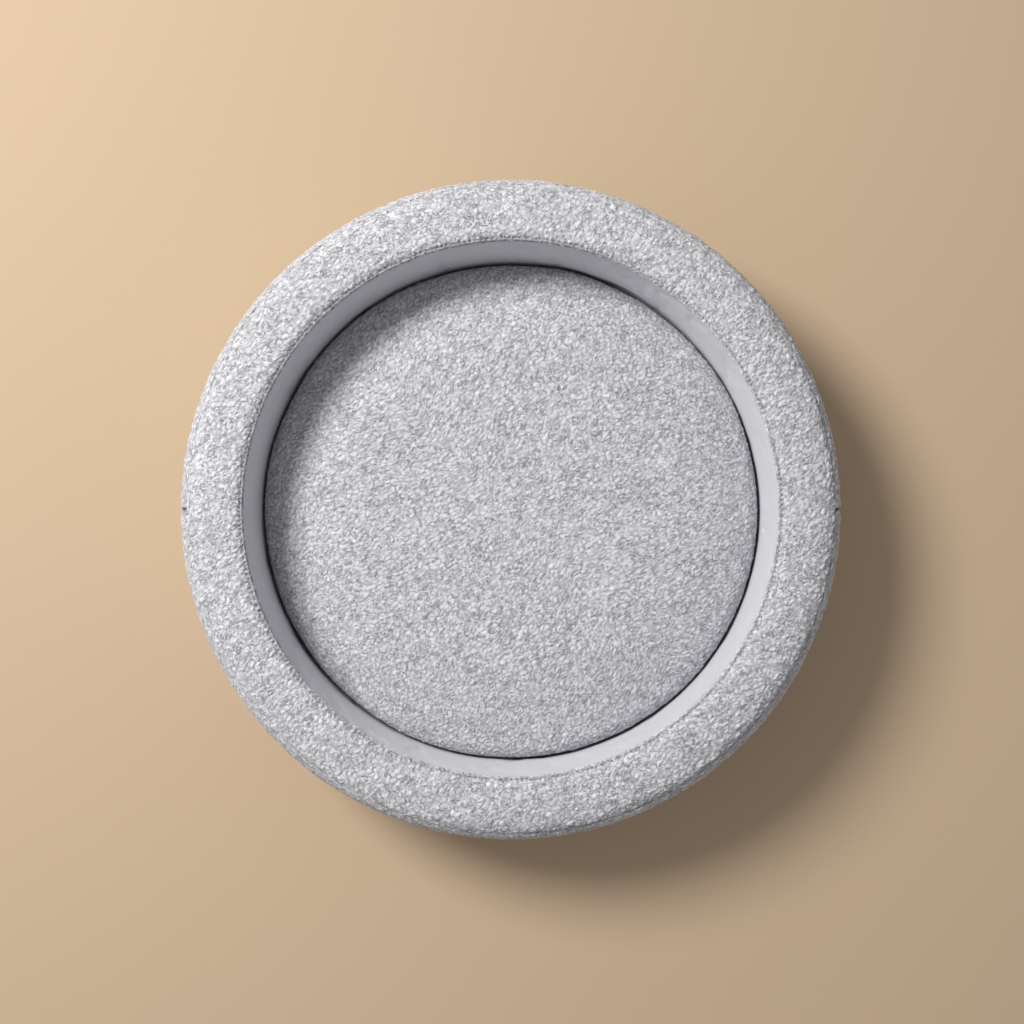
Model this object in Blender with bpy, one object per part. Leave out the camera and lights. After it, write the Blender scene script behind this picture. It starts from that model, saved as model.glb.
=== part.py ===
"""Round pet cushion bed: a foam ring in a curly-pile cover round a loose, thick cushion.

Metres, +Z up. The bed stands on z = 0, with its centre on the Z axis. Everything soft is a
plain closed solid: panels, wadding and foam lie inside one another with a small gap.
"""

from math import asin, cos, hypot, pi, radians, sin

import bmesh
import bpy
from mathutils import Matrix, Vector

# Overall sizes
BED_RADIUS = 0.300
BED_HEIGHT = 0.150
RING_WIDTH = 0.0675
CUSHION_THICKNESS = 0.0884
CUSHION_CLEARANCE = 0.0015

# Fabric, wadding and the gaps between layers
COVER_THICKNESS = 0.0030
PLAIN_THICKNESS = 0.0016
RING_WADDING_THICKNESS = 0.0040
CUSHION_WADDING_THICKNESS = 0.0060
LAYER_GAP = 0.0003
SEAM_GAP = 0.0003

# Base under the ring and the well
BASE_THICKNESS = 0.0016
BASE_PAD_THICKNESS = 0.0031
FLOOR_THICKNESS = 0.0015
BASE_INSET = 0.0160
PAD_INSET = 0.0025
FLOOR_OVERLAP = 0.0065

# Ring outline
INNER_SEAM_LEAN = 0.0081
INNER_SEAM_DROP = 0.0035
INNER_FOOT_LEAN = 0.0021
WAIST_BELOW_SEAM = 0.0665
CREST_FROM_SEAM = 0.0100
SHOULDER_DROP = 0.0500
SHOULDER_ROUNDNESS = 2.4
OUTER_SEAM_INSET = 0.0090
BELLY_DEPTH = 0.0180
TUCK = 0.0060
FOOT_INSET = 0.0135
FOOT_HEIGHT = 0.0012
HEEL_INSET = 0.0090
HEEL_SHARE = 0.453

# Cushion outline
DOME_START = 0.1300
DOME_DROP = 0.0175
DOME_POWER = 2.3
EDGE_ROLL = 0.0110
EDGE_DROP = 0.0155
LOWER_ROLL = 0.0140
LOWER_RISE = 0.0180

# Zips: two tapes, two coil rows with room for the slider's post, and the slider
ZIP_HEIGHT = 0.0300
ZIP_BAND_MARGIN = 0.0012
ZIP_OPENING = 0.0106
TAPE_WIDTH = 0.0140
TAPE_THICKNESS = 0.0008
COIL_WIDTH = 0.0029
COIL_THICKNESS = 0.0022
COIL_SPACING = 0.0016
STOP_LENGTH = 0.0040
STOP_GAP = 0.0004
SLIDER_LENGTH = 0.0110
SLIDER_WIDTH = 0.0088
SLIDER_PLATE = 0.0013
SLIDER_POST = 0.0009
SLIDER_CLEARANCE = 0.0006
BRIDGE_WIDTH = 0.0020
BRIDGE_HEIGHT = 0.0020
BRIDGE_BAR = 0.0010
BRIDGE_LEG = 0.0010
BRIDGE_SPAN = 0.0080
PULL_LENGTH = 0.0240
PULL_WIDTH = 0.0060
PULL_THICKNESS = 0.0012
PULL_ARM = 0.0014
PULL_SLOT_START = 0.0006
PULL_SLOT_END = 0.0052
RING_SLIDER_ANGLE = radians(10.5)
CUSHION_ZIP_LENGTH = 0.3400
CUSHION_SLIDER_INSET = 0.0140
ZIP_VALLEY_HALF_WIDTH = 0.0200
ZIP_VALLEY_RISE = 0.0085
ZIP_VALLEY_FLAT = 0.0150
ZIP_TAB_LENGTH = 0.0085

# Blank care label, sewn into the side seam
LABEL_WIDTH = 0.0200
LABEL_HEIGHT = 0.0260
LABEL_THICKNESS = 0.0005
LABEL_RISE = 0.0010

# How finely round pieces are divided
SEGMENTS = 40
STEP = 2 * pi / SEGMENTS
ZIP_STEP = STEP / 2

# Heights and radii that follow from the sizes above
WELL_RADIUS = BED_RADIUS - RING_WIDTH
ZIP_BAND_HALF = COIL_SPACING / 2 + TAPE_WIDTH + ZIP_BAND_MARGIN
INNER_SEAM_RADIUS = WELL_RADIUS + INNER_SEAM_LEAN
INNER_SEAM_Z = BED_HEIGHT - INNER_SEAM_DROP
BASE_TOP = BASE_THICKNESS
PAD_BOTTOM = BASE_TOP + LAYER_GAP
PAD_TOP = PAD_BOTTOM + BASE_PAD_THICKNESS
FLOOR_BOTTOM = PAD_TOP + LAYER_GAP
FLOOR_TOP = FLOOR_BOTTOM + FLOOR_THICKNESS
CUSHION_BOTTOM = FLOOR_TOP + LAYER_GAP
CUSHION_TOP = CUSHION_BOTTOM + CUSHION_THICKNESS
CUSHION_RADIUS = WELL_RADIUS - CUSHION_CLEARANCE
RING_WALL_RADIUS = BED_RADIUS - TUCK
TAPE_RADIUS = (RING_WALL_RADIUS - COVER_THICKNESS) * cos(STEP / 2) - LAYER_GAP
LABEL_BASE = ZIP_HEIGHT + LABEL_RISE - LABEL_HEIGHT / 2

# Colour (linear), roughness and metallic value of each finish
FINISHES = {
    "curly_pile": ((0.62, 0.62, 0.65), 0.95, 0.0),
    "short_pile": ((0.66, 0.66, 0.69), 0.90, 0.0),
    "plain_fabric": ((0.50, 0.50, 0.53), 0.90, 0.0),
    "grip_fabric": ((0.10, 0.10, 0.11), 0.85, 0.0),
    "foam": ((0.80, 0.78, 0.70), 0.95, 0.0),
    "wadding": ((0.85, 0.85, 0.84), 1.00, 0.0),
    "zip_tape": ((0.55, 0.55, 0.58), 0.85, 0.0),
    "zip_coil": ((0.60, 0.60, 0.62), 0.45, 0.0),
    "zip_metal": ((0.62, 0.62, 0.64), 0.35, 1.0),
    "label": ((0.86, 0.86, 0.84), 0.70, 0.0),
}


def clear_scene():
    for obj in list(bpy.data.objects):
        bpy.data.objects.remove(obj, do_unlink=True)


def material_for(name, finish):
    colour, roughness, metallic = FINISHES[finish]
    material = bpy.data.materials.new(name)
    material.use_nodes = True
    shader = material.node_tree.nodes["Principled BSDF"]
    shader.inputs["Base Color"].default_value = (*colour, 1.0)
    shader.inputs["Roughness"].default_value = roughness
    shader.inputs["Metallic"].default_value = metallic
    material.diffuse_color = (*colour, 1.0)
    return material


def add_object(name, bm, finish, pivot=(0, 0, 0), smooth_angle=radians(30)):
    """Adds the mesh, given in world metres, as an object whose origin is at the pivot."""
    bmesh.ops.recalc_face_normals(bm, faces=bm.faces)
    bmesh.ops.translate(bm, verts=bm.verts, vec=-Vector(pivot))
    mesh = bpy.data.meshes.new(name)
    bm.to_mesh(mesh)
    bm.free()
    mesh.materials.append(material_for(name, finish))
    mesh.shade_smooth()
    mesh.set_sharp_from_angle(angle=smooth_angle)
    obj = bpy.data.objects.new(name, mesh)
    obj.location = pivot
    bpy.context.scene.collection.objects.link(obj)
    return obj


def offset_line(points, distance):
    """Moves a section line to its right-hand side, towards the filling, with mitred corners."""
    normals = []
    for (r0, z0), (r1, z1) in zip(points, points[1:]):
        length = hypot(r1 - r0, z1 - z0)
        normals.append(((z1 - z0) / length, -(r1 - r0) / length))
    moved = []
    for index, (r, z) in enumerate(points):
        before = normals[max(index - 1, 0)]
        after = normals[min(index, len(normals) - 1)]
        reach = distance / (1 + before[0] * after[0] + before[1] * after[1])
        moved.append((r + (before[0] + after[0]) * reach, z + (before[1] + after[1]) * reach))
    if points[0][0] == 0:
        moved[0] = (0, points[0][1] - distance)
    return moved


def shortened(points):
    """A section line with the seam gap taken off each end that isn't on the Z axis."""

    def pulled_in(end, neighbour):
        length = hypot(neighbour[0] - end[0], neighbour[1] - end[1])
        share = SEAM_GAP / length
        return tuple(a + (b - a) * share for a, b in zip(end, neighbour))

    first = points[0] if points[0][0] == 0 else pulled_in(points[0], points[1])
    return [first, *points[1:-1], pulled_in(points[-1], points[-2])]


def layer(line, first, last, near, far):
    """Closed section of a layer that lies from near to far below part of an outline."""
    outside = shortened(offset_line(line, near)[first:last + 1])
    inside = shortened(offset_line(line, far)[first:last + 1])
    return outside + inside[::-1]


def turned(name, section, finish):
    """A full turn of a section, closed or with both ends on the Z axis."""
    bm = bmesh.new()
    verts = [bm.verts.new((r, 0, z)) for r, z in section]
    on_axis = section[0][0] == 0
    ends = zip(verts, verts[1:]) if on_axis else zip(verts, verts[1:] + verts[:1])
    edges = [bm.edges.new(pair) for pair in ends]
    bmesh.ops.spin(bm, geom=verts + edges, cent=(0, 0, 0), axis=(0, 0, 1), angle=2 * pi,
                   steps=SEGMENTS, use_merge=True)
    bmesh.ops.remove_doubles(bm, verts=bm.verts, dist=0.00001)
    return add_object(name, bm, finish)


def swept(name, section, angles, finish):
    """Part of a turn: the closed section carried from angle to angle, with both ends capped."""
    bm = bmesh.new()
    corners = [(r * cos(angles[0]), r * sin(angles[0]), z) for r, z in section]
    end_cap = bm.faces.new([bm.verts.new(corner) for corner in corners])
    carried = []
    for start, end in zip(angles, angles[1:]):
        made = bmesh.ops.extrude_face_region(bm, geom=[end_cap])["geom"]
        verts = [item for item in made if isinstance(item, bmesh.types.BMVert)]
        end_cap = next(item for item in made if isinstance(item, bmesh.types.BMFace))
        carried.append(end_cap)
        bmesh.ops.rotate(bm, verts=verts, cent=(0, 0, 0), matrix=Matrix.Rotation(end - start, 3, "Z"))
    bmesh.ops.delete(bm, geom=carried[:-1], context="FACES_ONLY")
    return add_object(name, bm, finish)


def half_turn_angles(first_segment):
    """The divisions of a half turn, with the seam gap taken off both ends."""
    trim = SEAM_GAP / BED_RADIUS
    angles = [(first_segment + index) * STEP for index in range(SEGMENTS // 2 + 1)]
    angles[0] += trim
    angles[-1] -= trim
    return angles


def box_mesh(low, high):
    bm = bmesh.new()
    bmesh.ops.create_cube(bm, size=1)
    centre = [(a + b) / 2 for a, b in zip(low, high)]
    size = [b - a for a, b in zip(low, high)]
    bmesh.ops.scale(bm, vec=size, verts=bm.verts)
    bmesh.ops.translate(bm, vec=centre, verts=bm.verts)
    return bm


def prism_mesh(outline, start, end):
    """A (y, z) outline carried along X from start to end."""
    bm = bmesh.new()
    face = bm.faces.new([bm.verts.new((start, y, z)) for y, z in outline])
    made = bmesh.ops.extrude_face_region(bm, geom=[face])["geom"]
    verts = [item for item in made if isinstance(item, bmesh.types.BMVert)]
    bmesh.ops.translate(bm, vec=(end - start, 0, 0), verts=verts)
    return bm


def add_cutter(name, low, high):
    cutter = add_object(name, box_mesh(low, high), "plain_fabric")
    cutter.hide_render = True
    cutter.display_type = "WIRE"
    return cutter


def cut(obj, cutter, operation="DIFFERENCE"):
    boolean = obj.modifiers.new(cutter.name, "BOOLEAN")
    boolean.operation = operation
    boolean.solver = "EXACT"
    boolean.object = cutter


def ring_outline():
    """Section of the ring from the foot of the well's wall, over the top, to the outer foot."""
    waist_z = INNER_SEAM_Z - WAIST_BELOW_SEAM
    wall = [(WELL_RADIUS + INNER_FOOT_LEAN, FLOOR_TOP + LAYER_GAP), (WELL_RADIUS, waist_z)]
    for share in (0.4, 0.75, 1.0):
        wall.append((WELL_RADIUS + INNER_SEAM_LEAN * share ** 2, waist_z + WAIST_BELOW_SEAM * share))
    crest_radius = INNER_SEAM_RADIUS + CREST_FROM_SEAM
    reach = BED_RADIUS - crest_radius
    belly_z = BED_HEIGHT - SHOULDER_DROP
    seam_share = 1 - OUTER_SEAM_INSET / reach

    def shoulder(share):
        drop = (1 - share ** SHOULDER_ROUNDNESS) ** (1 / SHOULDER_ROUNDNESS)
        return crest_radius + reach * share, belly_z + SHOULDER_DROP * drop

    top = [shoulder(seam_share * share) for share in (0.0, 0.4, 0.75, 1.0)]
    side = [shoulder(seam_share + (1 - seam_share) * 0.7), shoulder(1.0)]
    side.append((BED_RADIUS, belly_z - BELLY_DEPTH))
    band_top = ZIP_HEIGHT + ZIP_BAND_HALF
    side.append((BED_RADIUS - TUCK * 0.4, (belly_z - BELLY_DEPTH + band_top) / 2))
    side.append((RING_WALL_RADIUS, band_top))
    side.append((RING_WALL_RADIUS, ZIP_HEIGHT + ZIP_OPENING / 2))
    side.append((RING_WALL_RADIUS, ZIP_HEIGHT - ZIP_OPENING / 2))
    band_bottom = ZIP_HEIGHT - ZIP_BAND_HALF
    side.append((RING_WALL_RADIUS, band_bottom))
    side.append((BED_RADIUS - HEEL_INSET, FOOT_HEIGHT + (band_bottom - FOOT_HEIGHT) * HEEL_SHARE))
    side.append((BED_RADIUS - FOOT_INSET, FOOT_HEIGHT))
    return wall + top + side


# Places along the ring's outline
INNER_FOOT, INNER_SEAM, OUTER_SEAM = 0, 4, 8
BAND_TOP, ZIP_UPPER_EDGE, ZIP_LOWER_EDGE, OUTER_FOOT = 13, 14, 15, 18


def cushion_outline():
    """Section of the cushion from the middle of its top, over the edge, to its lower seam."""
    roll_start = CUSHION_RADIUS - EDGE_ROLL
    roll_top = CUSHION_TOP - DOME_DROP
    line = [(0, CUSHION_TOP), (DOME_START, CUSHION_TOP)]
    for share in (0.55, 1.0):
        radius = DOME_START + (roll_start - DOME_START) * share
        line.append((radius, CUSHION_TOP - DOME_DROP * share ** DOME_POWER))
    for share in (0.65, 1.0):
        drop = 1 - (1 - share ** 2) ** 0.5
        line.append((roll_start + EDGE_ROLL * share, roll_top - EDGE_DROP * (0.4 * share + 0.6 * drop)))
    line.append((CUSHION_RADIUS, CUSHION_BOTTOM + LOWER_RISE))
    line.append((CUSHION_RADIUS - LOWER_ROLL * 0.3, CUSHION_BOTTOM + LOWER_RISE * 0.3))
    line.append((CUSHION_RADIUS - LOWER_ROLL, CUSHION_BOTTOM))
    return line


# Places along the cushion's outline
CUSHION_SEAM, CUSHION_LOWER_SEAM = 5, 8


def build_base():
    pad_radius = BED_RADIUS - BASE_INSET - PAD_INSET
    floor_radius = WELL_RADIUS + INNER_FOOT_LEAN + FLOOR_OVERLAP
    sheets = (
        ("base_panel", BED_RADIUS - BASE_INSET, 0, BASE_TOP, "grip_fabric"),
        ("base_pad", pad_radius, PAD_BOTTOM, PAD_TOP, "foam"),
        ("well_floor_panel", floor_radius, FLOOR_BOTTOM, FLOOR_TOP, "plain_fabric"),
    )
    for name, radius, low, high, finish in sheets:
        turned(name, [(0, high), (radius, high), (radius, low), (0, low)], finish)


def build_ring():
    line = ring_outline()
    wadding_near = COVER_THICKNESS + LAYER_GAP
    wadding_far = wadding_near + RING_WADDING_THICKNESS
    core = offset_line(line, wadding_far + LAYER_GAP)
    foot_z = FLOOR_BOTTOM
    first_above = [point for point in core[1:OUTER_FOOT - 1] if point[1] > foot_z]
    core_section = [(core[0][0], foot_z), *first_above, (core[OUTER_FOOT - 1][0], foot_z)]
    turned("ring_foam_core", core_section, "foam")
    wadding = layer(line, INNER_FOOT + 1, BAND_TOP - 1, wadding_near, wadding_far)
    turned("ring_wadding", wadding, "wadding")
    turned("ring_inner_wall", layer(line, INNER_FOOT, INNER_SEAM, 0, COVER_THICKNESS), "short_pile")
    turned("ring_top_cover", layer(line, INNER_SEAM, OUTER_SEAM, 0, COVER_THICKNESS), "curly_pile")
    rear, front = half_turn_angles(0), half_turn_angles(SEGMENTS // 2)
    wall = layer(line, OUTER_SEAM, OUTER_FOOT, 0, COVER_THICKNESS)
    swept("ring_outer_wall_front", wall, front, "curly_pile")
    wall = layer(line, OUTER_SEAM, ZIP_UPPER_EDGE, 0, COVER_THICKNESS)
    swept("ring_outer_wall_rear", wall, rear, "curly_pile")
    skirt = layer(line, ZIP_LOWER_EDGE, OUTER_FOOT, 0, COVER_THICKNESS)
    swept("ring_rear_skirt", skirt, rear, "curly_pile")


def sides_of_zip():
    """The two halves of a zip: its name's ending and the direction across it."""
    return ("upper", 1), ("lower", -1)


def ring_block(name, low_radius, high_radius, angle, length, low_z, high_z, finish):
    """A small block on the ring's zip, set square to the radius at its angle."""
    bm = box_mesh((low_radius, -length / 2, low_z), (high_radius, length / 2, high_z))
    bmesh.ops.rotate(bm, verts=bm.verts, cent=(0, 0, 0), matrix=Matrix.Rotation(angle, 3, "Z"))
    return add_object(name, bm, finish)


def build_ring_zip():
    last = round(pi / ZIP_STEP) - 1
    tape_angles = [ZIP_STEP * index for index in range(1, last + 1)]
    coil_angles = tape_angles[1:-1]
    coil_low = TAPE_RADIUS + LAYER_GAP
    coil_high = coil_low + COIL_THICKNESS
    stop_shift = (STOP_LENGTH / 2 + STOP_GAP) / coil_low
    for ending, side in sides_of_zip():
        edges = [side * COIL_SPACING / 2, side * (COIL_SPACING / 2 + TAPE_WIDTH)]
        low, high = (ZIP_HEIGHT + edge for edge in sorted(edges))
        tape = [(TAPE_RADIUS - TAPE_THICKNESS, low), (TAPE_RADIUS, low),
                (TAPE_RADIUS, high), (TAPE_RADIUS - TAPE_THICKNESS, high)]
        swept(f"ring_zip_tape_{ending}", tape, tape_angles, "zip_tape")
        edges = [side * COIL_SPACING / 2, side * (COIL_SPACING / 2 + COIL_WIDTH)]
        low, high = (ZIP_HEIGHT + edge for edge in sorted(edges))
        coil = [(coil_low, low), (coil_high, low), (coil_high, high), (coil_low, high)]
        swept(f"ring_zip_coil_{ending}", coil, coil_angles, "zip_coil")
        ring_block(f"ring_zip_top_stop_{ending}", coil_low, coil_high, coil_angles[0] - stop_shift,
                   STOP_LENGTH, low, high, "zip_metal")
    half_width = COIL_SPACING / 2 + COIL_WIDTH
    ring_block("ring_zip_bottom_stop", coil_low, coil_high, coil_angles[-1] + stop_shift,
               STOP_LENGTH, ZIP_HEIGHT - half_width, ZIP_HEIGHT + half_width, "zip_metal")
    tab_half = ZIP_OPENING / 2 - LAYER_GAP
    tab = [(RING_WALL_RADIUS - COVER_THICKNESS, ZIP_HEIGHT - tab_half),
           (RING_WALL_RADIUS, ZIP_HEIGHT - tab_half), (RING_WALL_RADIUS, ZIP_HEIGHT + tab_half),
           (RING_WALL_RADIUS - COVER_THICKNESS, ZIP_HEIGHT + tab_half)]
    trim = SEAM_GAP / BED_RADIUS
    tab_end = coil_angles[0] - 2 * stop_shift - STOP_GAP / coil_low
    swept("ring_zip_end_tab_start", tab, [trim, tab_end], "plain_fabric")
    swept("ring_zip_end_tab_finish", tab, [pi - tab_end, pi - trim], "plain_fabric")


def build_care_label():
    """A blank tab that lies on the straight part of the front wall, beside the side seam."""
    facet_radius = RING_WALL_RADIUS * cos(STEP / 2) + LAYER_GAP
    ring_block("care_label", facet_radius, facet_radius + LABEL_THICKNESS, pi + STEP / 2,
               LABEL_WIDTH, LABEL_BASE, LABEL_BASE + LABEL_HEIGHT, "label")


def slider_mesh():
    """Zip slider: X along the zip, Y across it, Z outward, with the coils' middle at z = 0."""
    inner_face = COIL_THICKNESS / 2 + LAYER_GAP + TAPE_THICKNESS + SLIDER_CLEARANCE
    outer_face = COIL_THICKNESS / 2 + SLIDER_CLEARANCE
    half, post = SLIDER_WIDTH / 2, SLIDER_POST / 2
    section = [
        (-half, -inner_face - SLIDER_PLATE), (half, -inner_face - SLIDER_PLATE), (half, -inner_face),
        (post, -inner_face), (post, outer_face), (half, outer_face),
        (half, outer_face + SLIDER_PLATE), (-half, outer_face + SLIDER_PLATE), (-half, outer_face),
        (-post, outer_face), (-post, -inner_face), (-half, -inner_face),
    ]
    return prism_mesh(section, -SLIDER_LENGTH / 2, SLIDER_LENGTH / 2)


def bridge_mesh():
    """Arch over the slider's outer plate, sunk into the plate so that the two can be joined."""
    plate_top = COIL_THICKNESS / 2 + SLIDER_CLEARANCE + SLIDER_PLATE
    foot = plate_top - SLIDER_PLATE / 2
    under = plate_top + BRIDGE_HEIGHT
    top = under + BRIDGE_BAR
    half, leg = BRIDGE_SPAN / 2, BRIDGE_SPAN / 2 - BRIDGE_LEG
    outline = [(-half, foot), (-half, top), (half, top), (half, foot),
               (leg, foot), (leg, under), (-leg, under), (-leg, foot)]
    bm = bmesh.new()
    face = bm.faces.new([bm.verts.new((x, -BRIDGE_WIDTH / 2, z)) for x, z in outline])
    made = bmesh.ops.extrude_face_region(bm, geom=[face])["geom"]
    verts = [item for item in made if isinstance(item, bmesh.types.BMVert)]
    bmesh.ops.translate(bm, vec=(0, BRIDGE_WIDTH, 0), verts=verts)
    return bm


def pull_mesh():
    """Zip pull, flat along +X from its crossbar at the origin, with a slot round the bridge."""
    bm = box_mesh((-PULL_SLOT_START, -PULL_WIDTH / 2, -PULL_THICKNESS / 2),
                  (PULL_LENGTH, PULL_WIDTH / 2, PULL_THICKNESS / 2))
    corners = [edge for edge in bm.edges
               if all(vert.co.x > PULL_LENGTH / 2 for vert in edge.verts)
               and abs(edge.verts[0].co.y - edge.verts[1].co.y) < PULL_WIDTH / 2
               and abs(edge.verts[0].co.z - edge.verts[1].co.z) > PULL_THICKNESS / 2]
    bmesh.ops.bevel(bm, geom=corners, offset=PULL_WIDTH * 0.35, offset_type="OFFSET", segments=3,
                    profile=0.5, affect="EDGES")
    return bm


def pull_height():
    """Height of the pull's crossbar over the middle of the coils."""
    return COIL_THICKNESS / 2 + SLIDER_CLEARANCE + SLIDER_PLATE + BRIDGE_HEIGHT / 2


def build_slider_and_pull(prefix, placement, axis_point, pull_droop):
    """A slider whose origin is on its travel's axis, and the pull on the slider's bridge."""

    def placed(bm, matrix):
        bmesh.ops.transform(bm, matrix=matrix, verts=bm.verts)
        return bm

    slider = add_object(f"{prefix}_slider", placed(slider_mesh(), placement), "zip_metal", axis_point)
    bridge = add_object(f"{prefix}_bridge_shape", placed(bridge_mesh(), placement), "zip_metal")
    bridge.hide_render = True
    bridge.display_type = "WIRE"
    cut(slider, bridge, "UNION")
    lying = placement @ Matrix.Translation((0, 0, pull_height())) @ Matrix.Rotation(pull_droop, 4, "Y")
    pivot = lying.to_translation()
    pull = add_object(f"{prefix}_pull", placed(pull_mesh(), lying), "zip_metal", pivot)
    half_slot = PULL_WIDTH / 2 - PULL_ARM
    slot = box_mesh((PULL_SLOT_START, -half_slot, -PULL_THICKNESS),
                    (PULL_SLOT_END, half_slot, PULL_THICKNESS))
    slot = add_object(f"{prefix}_pull_slot", placed(slot, lying), "zip_metal")
    slot.hide_render = True
    slot.display_type = "WIRE"
    cut(pull, slot)


def build_ring_slider():
    """The slider faces outward on the zip, and travels about the bed's axis."""
    coil_middle = TAPE_RADIUS + LAYER_GAP + COIL_THICKNESS / 2
    along, across, outward = Vector((0, 1, 0)), Vector((0, 0, 1)), Vector((1, 0, 0))
    facing = Matrix((along, across, outward)).transposed().to_4x4()
    placement = (Matrix.Rotation(RING_SLIDER_ANGLE, 4, "Z")
                 @ Matrix.Translation((coil_middle, 0, ZIP_HEIGHT)) @ facing)
    build_slider_and_pull("ring_zip", placement, (0, 0, ZIP_HEIGHT), 0)


def cushion_zip_levels():
    """Heights of the cushion's zip: underside of the coils, of the tapes and of the slot's roof."""
    tape_low = CUSHION_BOTTOM + ZIP_VALLEY_RISE
    coil_low = tape_low - LAYER_GAP - COIL_THICKNESS
    plate_top = tape_low + TAPE_THICKNESS + SLIDER_CLEARANCE + SLIDER_PLATE
    return coil_low, tape_low, plate_top + LAYER_GAP


def build_cushion():
    line = cushion_outline()
    turned("cushion_top_panel", layer(line, 0, CUSHION_SEAM, 0, COVER_THICKNESS), "curly_pile")
    band = layer(line, CUSHION_SEAM, CUSHION_LOWER_SEAM, 0, COVER_THICKNESS)
    turned("cushion_side_band", band, "curly_pile")
    near = COVER_THICKNESS + LAYER_GAP
    far = near + CUSHION_WADDING_THICKNESS
    turned("cushion_wadding", layer(line, 0, CUSHION_LOWER_SEAM - 2, near, far), "wadding")
    core = offset_line(line, far + LAYER_GAP)[:CUSHION_LOWER_SEAM - 1]
    core_low = CUSHION_BOTTOM + PLAIN_THICKNESS + LAYER_GAP
    core += [(CUSHION_RADIUS - LOWER_ROLL - near, core_low), (0, core_low)]
    foam = turned("cushion_foam_core", core, "foam")
    panel_radius = CUSHION_RADIUS - LOWER_ROLL - LAYER_GAP * 2
    panel_top = CUSHION_BOTTOM + PLAIN_THICKNESS
    sheet = [(0, panel_top), (panel_radius, panel_top), (panel_radius, CUSHION_BOTTOM), (0, CUSHION_BOTTOM)]
    panel = turned("cushion_bottom_panel", sheet, "plain_fabric")
    roof = cushion_zip_levels()[2]
    half_length = CUSHION_ZIP_LENGTH / 2 + LAYER_GAP
    valley = ZIP_VALLEY_HALF_WIDTH + LAYER_GAP
    zip_room = add_cutter("zip_room", (-half_length, -valley, 0), (half_length, valley, roof))
    cut(foam, zip_room)
    cut(panel, zip_room)


def build_cushion_zip():
    coil_low, tape_low, _ = cushion_zip_levels()
    tape_high = tape_low + TAPE_THICKNESS
    coil_high = coil_low + COIL_THICKNESS
    half_length = CUSHION_ZIP_LENGTH / 2
    coil_end = half_length - ZIP_TAB_LENGTH - LAYER_GAP - STOP_LENGTH - 2 * STOP_GAP
    half_opening = ZIP_OPENING / 2
    facing_top = tape_low - LAYER_GAP
    facing = [
        (half_opening, facing_top - COVER_THICKNESS),
        (half_opening, facing_top),
        (ZIP_VALLEY_FLAT, facing_top),
        (ZIP_VALLEY_HALF_WIDTH, CUSHION_BOTTOM + COVER_THICKNESS),
        (ZIP_VALLEY_HALF_WIDTH, CUSHION_BOTTOM),
        (ZIP_VALLEY_HALF_WIDTH - COVER_THICKNESS, CUSHION_BOTTOM),
    ]
    for ending, side in (("front", -1), ("rear", 1)):
        outline = [(y * side, z) for y, z in facing]
        strip = prism_mesh(outline, -half_length, half_length)
        add_object(f"cushion_zip_facing_{ending}", strip, "curly_pile")
        near = side * COIL_SPACING / 2
        low_y, high_y = sorted((near, near + side * TAPE_WIDTH))
        tape = box_mesh((-half_length, low_y, tape_low), (half_length, high_y, tape_high))
        add_object(f"cushion_zip_tape_{ending}", tape, "zip_tape")
        low_y, high_y = sorted((near, near + side * COIL_WIDTH))
        coil = box_mesh((-coil_end, low_y, coil_low), (coil_end, high_y, coil_high))
        add_object(f"cushion_zip_coil_{ending}", coil, "zip_coil")
        stop_start = -coil_end - STOP_GAP - STOP_LENGTH
        stop = box_mesh((stop_start, low_y, coil_low), (stop_start + STOP_LENGTH, high_y, coil_high))
        add_object(f"cushion_zip_top_stop_{ending}", stop, "zip_metal")
    half_width = COIL_SPACING / 2 + COIL_WIDTH
    stop_start = coil_end + STOP_GAP
    stop = box_mesh((stop_start, -half_width, coil_low), (stop_start + STOP_LENGTH, half_width, coil_high))
    add_object("cushion_zip_bottom_stop", stop, "zip_metal")
    tab_half = half_opening - LAYER_GAP
    for ending, side in (("start", -1), ("finish", 1)):
        low_x, high_x = sorted((side * half_length, side * (half_length - ZIP_TAB_LENGTH)))
        tab = box_mesh((low_x, -tab_half, facing_top - COVER_THICKNESS), (high_x, tab_half, facing_top))
        add_object(f"cushion_zip_end_tab_{ending}", tab, "plain_fabric")


def build_cushion_slider():
    """The slider hangs under the cushion, and its pull rests on the floor of the well."""
    coil_low, _, _ = cushion_zip_levels()
    facing = Matrix.Rotation(pi, 4, "X")
    slider_x = -CUSHION_ZIP_LENGTH / 2 + ZIP_TAB_LENGTH + CUSHION_SLIDER_INSET
    place = (slider_x, 0, coil_low + COIL_THICKNESS / 2)
    placement = Matrix.Translation(place) @ facing
    room = place[2] - pull_height() - PULL_THICKNESS / 2 - LAYER_GAP - FLOOR_TOP
    droop = asin(room / PULL_LENGTH)
    build_slider_and_pull("cushion_zip", placement, place, -droop)


def main():
    clear_scene()
    build_base()
    build_ring()
    build_ring_zip()
    build_care_label()
    build_ring_slider()
    build_cushion()
    build_cushion_zip()
    build_cushion_slider()


main()
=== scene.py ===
"""Looks of a round pet cushion bed: curly-pile fabric padded over a foam ring, with a thick loose cushion.

Everything is in metres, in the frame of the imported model, with the bed's centre on the Z axis.
"""

from itertools import product
from math import cos, pi, radians, sin, sqrt

import bmesh
import bpy
import numpy as np
from mathutils import Matrix, Vector


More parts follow.
